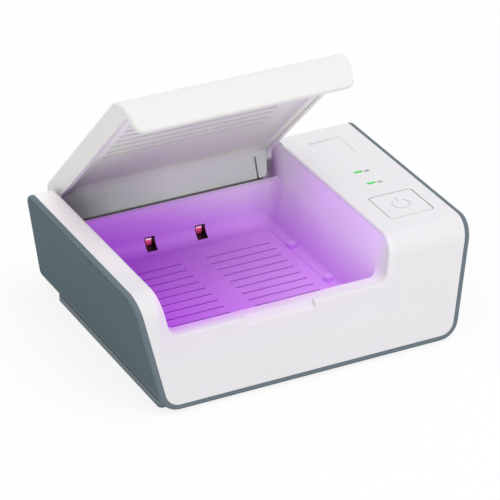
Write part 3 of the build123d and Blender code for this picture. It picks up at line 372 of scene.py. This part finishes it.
def metal(name, colour, roughness, brush=(1.0, 1.0, 1.0), scale=900.0):
    """Metal with drawn or rolled streaks along one axis."""
    streak_vary, rough_vary, stained = 0.12, 0.08, 0.6
    nodes = Nodes(name)
    streak = nodes.noise(scale, detail=4.0, stretch=brush)
    stain = nodes.noise(60.0, detail=5.0)
    pale, dark = shade(colour, 1 + streak_vary), shade(colour, 1 - streak_vary)
    base = nodes.mix(nodes.vary(streak, 0.0, 1.0), dark, pale)
    base = nodes.mix(nodes.spread(stain, 0.5, 0.75, 0.0, 0.3), base, shade(colour, stained))
    nodes.give("Base Color", base)
    nodes.give("Metallic", 1.0)
    nodes.give("Roughness", nodes.vary(streak, roughness - rough_vary, roughness + rough_vary))
    nodes.bump(streak, 0.01 * MM, 0.4)
    return nodes.material


# ---------------------------------------------------------------- the chamber's violet light
def right_wall(nodes, x, y):
    """1 on the chamber's right wall, also where it runs on behind the rear wall."""
    blur = 0.5 * MM
    inner = nodes.spread(x, RIGHT_WALL_X - blur, RIGHT_WALL_X + blur)
    return nodes.product(inner, nodes.maths("LESS_THAN", y, RIGHT_WALL_END_Y))


def lit_area(nodes, x, y, z):
    """1 on the chamber's surfaces, fading out over the rounded edges of its mouth and lip."""
    inside = nodes.spread(y, CHAMBER_REAR_Y + 1.0 * MM, CHAMBER_REAR_Y + 1.5 * MM, 1.0, 0.0)
    aside = nodes.apart(x, CHAMBER_X)
    return nodes.product(
        nodes.spread(aside, CHAMBER_HALF, CHAMBER_HALF + EDGE_ROUND, 1.0, 0.0, smooth=True),
        nodes.spread(y, *LIP_Y, smooth=True),
        nodes.maths("MAXIMUM", inside, right_wall(nodes, x, y)),
        nodes.spread(z, TOP_Z - EDGE_ROUND, TOP_Z + 0.4 * MM, 1.0, 0.0, smooth=True),
        nodes.spread(z, GRILLE_LOW[2] - 0.5 * MM, GRILLE_LOW[2]),
    )


def violet_tint(nodes, x, y, z):
    """The light's colour: deepest low down at the left, pale towards the right and the top.

    It is deeper again at the right behind the rear wall.
    """
    paler_rightward, paler_upward, deeper_behind, drift = 0.57, 0.71, 0.34, 0.03
    rightward = nodes.spread(x, CHAMBER_LEFT, CHAMBER_RIGHT, 0.0, paler_rightward)
    upward = nodes.spread(z, FLOOR_Z, TOP_Z, 0.0, paler_upward)
    cloud = nodes.vary(nodes.noise(28.0, detail=2.0), -drift, drift)
    paleness = nodes.maths("ADD", nodes.maths("ADD", rightward, upward), cloud)
    far_right = nodes.spread(x, CHAMBER_X + 44.0 * MM, CHAMBER_X + 47.0 * MM)
    behind = nodes.spread(
        y, CHAMBER_REAR_Y - 8.0 * MM, CHAMBER_REAR_Y + 6.0 * MM, 0.0, deeper_behind
    )
    paleness = nodes.maths("SUBTRACT", paleness, nodes.product(far_right, behind))
    deep = nodes.mix(nodes.spread(paleness, 0.0, 0.5), VIOLET_DEEP, VIOLET_MIDDLE)
    return nodes.mix(nodes.spread(paleness, 0.5, 1.0), deep, VIOLET_PALE)


def violet_light(nodes):
    """Paints the violet light that fills the chamber into the colour of its surfaces.

    The right wall, which faces the lamps, has a painted violet glow. The rear wall and the rim on
    the left have a fainter painted glow in their own tint.
    """
    x, y, z = nodes.axes()
    lit = lit_area(nodes, x, y, z)
    tint = violet_tint(nodes, x, y, z)
    nodes.repaint(lit, tint)
    # painted glow on the right wall, the rear wall and the left rim
    right = nodes.product(
        nodes.spread(x, CHAMBER_RIGHT - 18.0 * MM, CHAMBER_RIGHT, 0.0, 0.3),
        nodes.spread(y, CHAMBER_REAR_Y, CHAMBER_REAR_Y - 37.0 * MM),
        nodes.spread(y, CHAMBER_FRONT_Y - 3.0 * MM, CHAMBER_FRONT_Y + 5.0 * MM),
        nodes.spread(z, FLOOR_Z, TOP_Z, 0.4, 1.0),
    )
    rear = nodes.product(
        nodes.spread(x, CHAMBER_LEFT, CHAMBER_X + 20.0 * MM, 0.07, 0.14),
        nodes.spread(y, CHAMBER_REAR_Y - 5.0 * MM, CHAMBER_REAR_Y - 1.0 * MM),
        nodes.spread(x, CHAMBER_X + 32.0 * MM, CHAMBER_X + 45.0 * MM, 1.0, 0.0),
    )
    left_rim = nodes.product(
        nodes.spread(x, CHAMBER_LEFT + 2.0 * MM, CHAMBER_LEFT, 0.0, 0.2),
        nodes.spread(z, TOP_Z - 5.0 * MM, TOP_Z - 1.0 * MM),
    )
    own = nodes.maths("MAXIMUM", rear, left_rim)
    nodes.give("Emission Strength", nodes.product(lit, nodes.maths("MAXIMUM", right, own)))
    in_own_tint = nodes.maths("GREATER_THAN", own, right)
    nodes.give("Emission Color", nodes.mix(in_own_tint, VIOLET_LIGHT, tint))


# ---------------------------------------------------------------- painted light and shade on the white shell
def paint_light_on_strip(nodes):
    """Paints light on the strip of the shell on the left of the chamber, most at the rear, where the
    open lid shades it.
    """
    x, y, z = nodes.axes()
    amount = nodes.product(
        nodes.spread(x, CHAMBER_LEFT + 1.0 * MM, CHAMBER_LEFT - 1.0 * MM),
        nodes.spread(y, *STRIP_Y),
        nodes.spread(z, TOP_Z - 8.0 * MM, TOP_Z - 3.0 * MM),
    )
    nodes.repaint(amount, STRIP_PAINTED_LIGHT)


def paint_slot_shade(nodes):
    """Paints shade into the trough behind the rear wall's thin rim and, a little, onto the rim
    itself.

    The right wall and the outside of the case stay as they are.
    """
    x, y, z = nodes.axes()
    in_trough = nodes.product(
        nodes.maths("LESS_THAN", nodes.apart(x, CHAMBER_X), CHAMBER_HALF + 0.5 * MM),
        nodes.maths("LESS_THAN", y, TROUGH_REAR_Y),
        nodes.maths("LESS_THAN", z, REAR_RIM_Z + 0.1 * MM),
        nodes.maths("SUBTRACT", 1.0, right_wall(nodes, x, y)),
    )
    across = nodes.spread(y, CHAMBER_REAR_Y + 0.5 * MM, CHAMBER_REAR_Y + 1.3 * MM)
    crest = nodes.product(
        nodes.spread(z, REAR_RIM_Z - 1.4 * MM, REAR_RIM_Z, 0.0, 0.2),
        nodes.maths("GREATER_THAN", y, CHAMBER_REAR_Y - 0.5 * MM),
    )
    nodes.repaint(nodes.product(in_trough, nodes.maths("MAXIMUM", across, crest)), SLOT_SHADE)


def blacken_windows(nodes):
    """Darkens the side faces of the two lamp windows, and stops their glow."""
    x, y, z = nodes.axes()
    from_window = nodes.apart(nodes.apart(x, CHAMBER_X), WINDOW_SPREAD)
    amount = nodes.product(
        nodes.maths("LESS_THAN", from_window, WINDOW_HALF + WINDOW_MARGIN),
        nodes.between(z, WINDOW_LOW - WINDOW_MARGIN, WINDOW_HIGH + WINDOW_MARGIN),
        nodes.maths("GREATER_THAN", y, CHAMBER_REAR_Y - WINDOW_REACH),
        nodes.maths("LESS_THAN", nodes.facing(1), 0.2),
    )
    nodes.repaint(amount, LAMP_BLACK)
    glow = nodes.shader.inputs["Emission Strength"].links[0].from_socket
    nodes.give("Emission Strength", nodes.product(glow, nodes.maths("SUBTRACT", 1.0, amount)))


def paint_button_gap_shade(nodes, inner, outer):
    """Paints the shade of the gap round the button, in grey, on the strip that lies between two
    distances from the button's edge.
    """
    x, y, z = nodes.axes()
    past = [
        nodes.maths("SUBTRACT", nodes.apart(value, middle), half - BUTTON_ROUND)
        for value, middle, half in zip((x, y), BUTTON_MIDDLE, BUTTON_HALF)
    ]
    squares = [nodes.maths("POWER", nodes.maths("MAXIMUM", value, 0.0), 2.0) for value in past]
    corner = nodes.maths("SQRT", nodes.maths("ADD", *squares))
    inside = nodes.maths("MINIMUM", nodes.maths("MAXIMUM", *past), 0.0)
    distance = nodes.maths("SUBTRACT", nodes.maths("ADD", corner, inside), BUTTON_ROUND)
    on_panel = nodes.between(z, TOP_Z - BUTTON_DEPTH, 1.0)
    amount = nodes.product(nodes.between(distance, inner, outer), on_panel, 0.8)
    nodes.repaint(amount, GAP_SHADE_GREY)


# ---------------------------------------------------------------- materials
def white_shell():
    finish = dict(grain=2200.0, grain_depth=0.008, vary=0.012, seams=0.86)
    nodes = moulded("white_shell", WHITE, 0.42, **finish)
    paint_light_on_strip(nodes)
    violet_light(nodes)
    paint_slot_shade(nodes)
    blacken_windows(nodes)
    paint_button_gap_shade(nodes, *SHELL_OUTLINE)
    return nodes.material


def grille_plastic():
    finish = dict(grain=2200.0, grain_depth=0.008, vary=0.012)
    nodes = moulded("grille_plastic", GRILLE_WHITE, 0.45, **finish)
    violet_light(nodes)
    return nodes.material


def lid_plastic():
    """The lid: paler, with a green counter-tint inside against the chamber's violet light, and
    painted shade in its lower corners, which stand in the trough.
    """
    finish = dict(grain=2200.0, grain_depth=0.006, vary=0.01, coat=0.15, seams=0.8)
    nodes = moulded("lid_plastic", LID_WHITE, 0.36, **finish)
    x, _, z = nodes.axes()
    # painted light and green counter-tint on the faces that look down and inwards
    nodes.repaint(nodes.spread(nodes.towards(LID_DOWNWARD), 0.9, 0.99), LID_INSIDE_COUNTERTINT)
    right_side = nodes.maths("GREATER_THAN", x, CHAMBER_X)
    inward = nodes.spread(nodes.towards((-1.0, 0.0, 0.0)), 0.5, 0.9)
    nodes.repaint(nodes.product(right_side, inward), LID_INSIDE_COUNTERTINT)
    # painted shade on the forward faces of the lid's lower corners
    left_corner = nodes.product(
        nodes.maths("LESS_THAN", x, LID_LEFT_END_X),
        nodes.spread(z, *LID_LEFT_CORNER_Z, 0.0, 0.7),
    )
    right_corner = nodes.product(
        nodes.maths("GREATER_THAN", x, LID_RIGHT_END_X),
        nodes.spread(z, *LID_RIGHT_CORNER_Z, 0.0, 0.8),
    )
    corners = nodes.maths("MAXIMUM", left_corner, right_corner)
    forward = nodes.spread(nodes.towards((0.0, -1.0, 0.0)), 0.60, 0.68)
    nodes.repaint(nodes.product(forward, corners), SLOT_SHADE)
    return nodes.material


def liner_plastic():
    """The lid's inner panel: green counter-tint against the violet light, painted light on the
    underside, painted shade on the ridges, low down, at the left and at its lower edge.
    """
    finish = dict(grain=1600.0, grain_depth=0.012, vary=0.02, seams=1.0)
    nodes = moulded("liner_plastic", LINER_COUNTERTINT, 0.5, **finish)
    x, y, z = nodes.axes()
    downward = nodes.towards(LID_DOWNWARD)
    # painted light on the underside towards the front, with a stronger green counter-tint towards
    # the middle
    underside = nodes.mix(nodes.spread(z, *LINER_TINT_Z), LINER_UNDERSIDE_LIGHTENED, LINER_MIDDLE_COUNTERTINT)
    nodes.repaint(nodes.spread(downward, 0.55, 0.9), underside)
    # painted shade on the flanks of the ridges
    ridges = nodes.product(
        nodes.spread(downward, 0.6, 0.2),
        nodes.maths("GREATER_THAN", z, RIDGES_FROM_Z),
        nodes.between(x, *RIDGES_X),
    )
    nodes.repaint(ridges, RIDGE_SHADE_GREY)
    # painted shade low down, deepest towards the left
    low = nodes.spread(z, *LINER_LOW_Z)
    nodes.repaint(nodes.product(low, nodes.spread(x, *LINER_CORNER_X)), LINER_CORNER_SHADE)
    lowest = nodes.spread(z, *LINER_LOWEST_Z, 0.0, 0.5)
    nodes.repaint(nodes.product(lowest, nodes.spread(x, *LINER_NEAR_LEFT_X)), LINER_DEEP_SHADE)
    nodes.repaint(nodes.product(low, nodes.spread(x, *LINER_END_X, 0.0, 0.6)), LINER_DEEP_SHADE)
    # painted shade along the lower edge, which stands behind the rear rim
    toe = nodes.spread(z, REAR_RIM_Z - 0.2 * MM, REAR_RIM_Z + 0.3 * MM, 1.0, 0.0)
    behind_rim = nodes.maths("GREATER_THAN", y, CHAMBER_REAR_Y)
    nodes.repaint(nodes.product(toe, behind_rim, 0.9), SLOT_SHADE)
    return nodes.material


def slate_plastic():
    """Slate side panels, paler where their rims turn away from the sides: a painted highlight."""
    finish = dict(grain=1500.0, grain_depth=0.02, vary=0.05, specular=0.12)
    nodes = moulded("slate_plastic", SLATE, 0.58, **finish)
    rim = nodes.spread(nodes.facing(0), 0.90, 0.97, 1.0, 0.0)
    nodes.repaint(nodes.product(rim, 0.95), SLATE_RIM_HIGHLIGHT)
    return nodes.material


def slate_base_plastic():
    # painted light: paler slate that makes up for the little light on its downward flank
    finish = dict(grain=1300.0, grain_depth=0.03, vary=0.06, specular=0.3)
    return moulded("slate_base_plastic", SLATE_BASE_LIGHTENED, 0.55, **finish).material


def button_plastic():
    """White button whose engraved symbol carries a grey fill."""
    finish = dict(grain=2200.0, grain_depth=0.006, vary=0.01, seams=1.0)
    nodes = moulded("button_plastic", WHITE, 0.38, **finish)
    nodes.repaint(nodes.spread(nodes.axes()[2], *SYMBOL_Z, 1.0, 0.0), SYMBOL_GREY)
    # painted shade of the gap along the button's edge
    paint_button_gap_shade(nodes, *BUTTON_OUTLINE)
    return nodes.material


def dark_plastic():
    finish = dict(grain=1200.0, grain_depth=0.03, vary=0.15)
    return moulded("dark_plastic", DARK_PLASTIC, 0.5, **finish).material


def foot_rubber():
    finish = dict(grain=900.0, grain_depth=0.05, vary=0.2)
    return moulded("foot_rubber", RUBBER_BLACK, 0.8, **finish).material


def led_white():
    finish = dict(grain=1500.0, grain_depth=0.005, vary=0.05)
    return moulded("led_white", LED_WHITE, 0.3, **finish).material


def light_pipe():
    """Frosted green light pipe whose glow is a little cloudy."""
    finish = dict(grain=1800.0, grain_depth=0.01, vary=0.08, specular=0.1)
    nodes = moulded("light_pipe", LIGHT_GREEN, 0.35, **finish)
    nodes.give("Emission Color", LIGHT_GLOW)
    nodes.give("Emission Strength", nodes.vary(nodes.noise(700.0, detail=2.0), 0.27, 0.37))
    return nodes.material


def board_green():
    """Solder mask over copper tracks."""
    nodes = Nodes("board_green")
    tracks = nodes.add("ShaderNodeTexBrick")
    tracks.inputs["Scale"].default_value = 420.0
    tracks.inputs["Mortar Size"].default_value = 0.04
    for socket, colour in BOARD_GREENS.items():
        tracks.inputs[socket].default_value = colour
    nodes.join(nodes.place, tracks.inputs["Vector"])
    fine = nodes.noise(2500.0)
    speck = nodes.spread(fine, 0.4, 0.6, 0.0, 0.25)
    nodes.give("Base Color", nodes.mix(speck, tracks.outputs[0], BOARD_SPECK))
    nodes.give("Roughness", nodes.vary(fine, 0.25, 0.4))
    nodes.bump(tracks.outputs["Fac"], 0.03 * MM, 0.5)
    return nodes.material


def uv_lamp():
    """Black lamp block whose face carries a glowing lens: pink above, crimson, rose below."""
    nodes = Nodes("uv_lamp")
    x, y, z = nodes.axes()
    aside = [
        nodes.apart(x, CHAMBER_X + side * WINDOW_SPREAD + LENS_ASIDE) for side in (-1, 1)
    ]
    lens = nodes.product(
        nodes.spread(nodes.maths("MINIMUM", *aside), *LENS_HALF, 1.0, 0.0),
        nodes.between(z, *LENS_Z),
        nodes.maths("LESS_THAN", y, LAMP_FACE_Y + LENS_DEPTH),
    )
    cloud = nodes.noise(500.0, detail=3.0)
    wave = nodes.maths("ADD", z, nodes.vary(cloud, -LENS_WAVE, LENS_WAVE))
    glow = nodes.mix(nodes.spread(wave, *LENS_CRIMSON_Z), LENS_ROSE, LENS_CRIMSON)
    glow = nodes.mix(nodes.spread(wave, *LENS_PINK_Z), glow, LENS_PINK)
    nodes.give("Base Color", nodes.mix(lens, LAMP_BLACK, glow))
    nodes.give("Roughness", nodes.vary(cloud, 0.3, 0.42))
    nodes.give("Specular IOR Level", 0.1)
    nodes.give("Emission Color", glow)
    nodes.give("Emission Strength", nodes.product(lens, 0.8))
    nodes.bump(cloud, 0.02 * MM, 0.3)
    return nodes.material


def ink():
    """Pad-printed ink with small pinholes."""
    nodes = Nodes("ink")
    speck = nodes.noise(6000.0, detail=2.0)
    nodes.give("Base Color", nodes.mix(nodes.spread(speck, 0.62, 0.7, 0.0, 0.5), INK, WHITE))
    nodes.give("Roughness", nodes.vary(speck, 0.45, 0.6))
    nodes.bump(speck, 0.01 * MM, 0.3)
    return nodes.material


def dress(material, *names):
    """Gives CAD nodes a material."""
    for name in names:
        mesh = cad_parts[name].data
        mesh.materials.clear()
        mesh.materials.append(material)


def dress_all():
    dress(slate_plastic(), "side_shell")
    dress(slate_base_plastic(), "base_plate")
    dress(white_shell(), "top_shell")
    dress(grille_plastic(), "floor_grille")
    dress(lid_plastic(), "lid_shell")
    dress(liner_plastic(), "lid_liner")
    dress(button_plastic(), "power_button")
    dark_nodes = ("switch_plunger", "power_switch", "lid_sensor", "board_components")
    dress(dark_plastic(), *dark_nodes, "fan_frame", "fan_rotor")
    dress(board_green(), "control_board", "main_board", "lamp_board")
    dress(led_white(), "indicator_leds")
    dress(light_pipe(), "light_pipe_front", "light_pipe_rear")
    dress(metal("pin_steel", PIN_STEEL, 0.3, BRUSHED), "hinge_pins", "power_inlet")
    dress(metal("magnet_nickel", NICKEL, 0.25), "lid_magnet")
    dress(metal("bracket_steel", BRACKET_STEEL, 0.4, BRUSHED), "heater_bracket")
    dress(metal("heater_aluminium", ALUMINIUM, 0.35, BRUSHED), "heater_plate")
    dress(metal("screw_zinc", ZINC, 0.35, scale=2500.0), "base_screws", "board_screws")
    dress(foot_rubber(), "feet")
    dress(uv_lamp(), "uv_lamp_left", "uv_lamp_right")


# ---------------------------------------------------------------- pieces, light, world and floor
def printed(name, text, x, y, material):
    """A number printed on the control panel, as a thin raised film of ink."""
    curve = bpy.data.curves.new(name, "FONT")
    curve.body = text
    curve.size = DIGIT_HEIGHT * FONT_PER_DIGIT
    curve.align_x = "CENTER"
    curve.align_y = "CENTER"
    curve.extrude = PRINT_THICKNESS / 2
    curve.offset = PRINT_SWELL
    curve.materials.append(material)
    source = bpy.data.objects.new(name + "_source", curve)
    mesh = bpy.data.meshes.new_from_object(source)
    mesh.name = name
    bpy.data.objects.remove(source)
    mesh.transform(Matrix.Translation((x, y, TOP_Z + PRINT_THICKNESS / 2)))
    piece = bpy.data.objects.new(name, mesh)
    bpy.context.scene.collection.objects.link(piece)
    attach(piece, "case")


def print_panel():
    """Prints a plain number beside each indicator light."""
    material = ink()
    for name, number in (("light_pipe_rear", "60"), ("light_pipe_front", "20")):
        low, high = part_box(name)
        x = high[0] + NUMBER_ASIDE
        y = (low[1] + high[1]) / 2 - NUMBER_FORWARD
        printed("number_" + number, number, x, y, material)


def make_key_light():
    """A soft round lamp above the front, itself unseen."""
    data = bpy.data.lights.new("key", "AREA")
    data.shape = "DISK"
    data.size = KEY_SIZE
    data.energy = KEY_POWER
    lamp = bpy.data.objects.new("key", data)
    lamp.location = KEY_PLACE
    aim = Vector(KEY_AIM) - Vector(KEY_PLACE)
    lamp.rotation_euler = aim.to_track_quat("-Z", "Y").to_euler()
    lamp.visible_camera = False
    lamp.visible_glossy = False
    bpy.context.scene.collection.objects.link(lamp)


def seen_directly(tree):
    """1 for camera, glossy and transmission rays, 0 for diffuse light."""
    path = tree.nodes.new("ShaderNodeLightPath")
    value = path.outputs["Is Camera Ray"]
    for ray in ("Is Glossy Ray", "Is Transmission Ray"):
        either = tree.nodes.new("ShaderNodeMath")
        either.operation = "MAXIMUM"
        tree.links.new(value, either.inputs[0])
        tree.links.new(path.outputs[ray], either.inputs[1])
        value = either.outputs[0]
    return value


def make_world():
    """White where it is seen, WORLD_LEVEL where it lights the object."""
    world = bpy.data.worlds.new("white_room")
    bpy.context.scene.world = world
    world.use_nodes = True
    tree = world.node_tree
    background = tree.nodes["Background"]
    background.inputs["Color"].default_value = opaque(1.0, 1.0, 1.0)
    level = tree.nodes.new("ShaderNodeMapRange")
    tree.links.new(seen_directly(tree), level.inputs["Value"])
    level.inputs["To Min"].default_value = WORLD_LEVEL
    level.inputs["To Max"].default_value = 1.0
    tree.links.new(level.outputs[0], background.inputs["Strength"])


def make_floor():
    """A pale floor that keeps the object's shadow and is nearly white where it is seen."""
    half = FLOOR_SIZE / 2
    square = ((-half, -half), (half, -half), (half, half), (-half, half))
    mesh = bpy.data.meshes.new("floor")
    mesh.from_pydata([(x, y, -FLOOR_DROP) for x, y in square], [], [(0, 1, 2, 3)])
    floor = bpy.data.objects.new("floor", mesh)
    bpy.context.scene.collection.objects.link(floor)
    nodes = Nodes("floor_white")
    nodes.give("Base Color", FLOOR_COLOUR)
    nodes.give("Roughness", 0.9)
    glow = nodes.add("ShaderNodeEmission")
    mix = nodes.add("ShaderNodeMixShader")
    nodes.join(nodes.product(seen_directly(nodes.tree), FLOOR_OWN_LIGHT), mix.inputs[0])
    nodes.join(nodes.shader.outputs[0], mix.inputs[1])
    nodes.join(glow.outputs[0], mix.inputs[2])
    nodes.join(mix.outputs[0], nodes.output.inputs["Surface"])
    mesh.materials.append(nodes.material)


bpy.context.scene.view_settings.view_transform = "Standard"
make_camera()
dress_all()
print_panel()
make_key_light()
make_world()
make_floor()
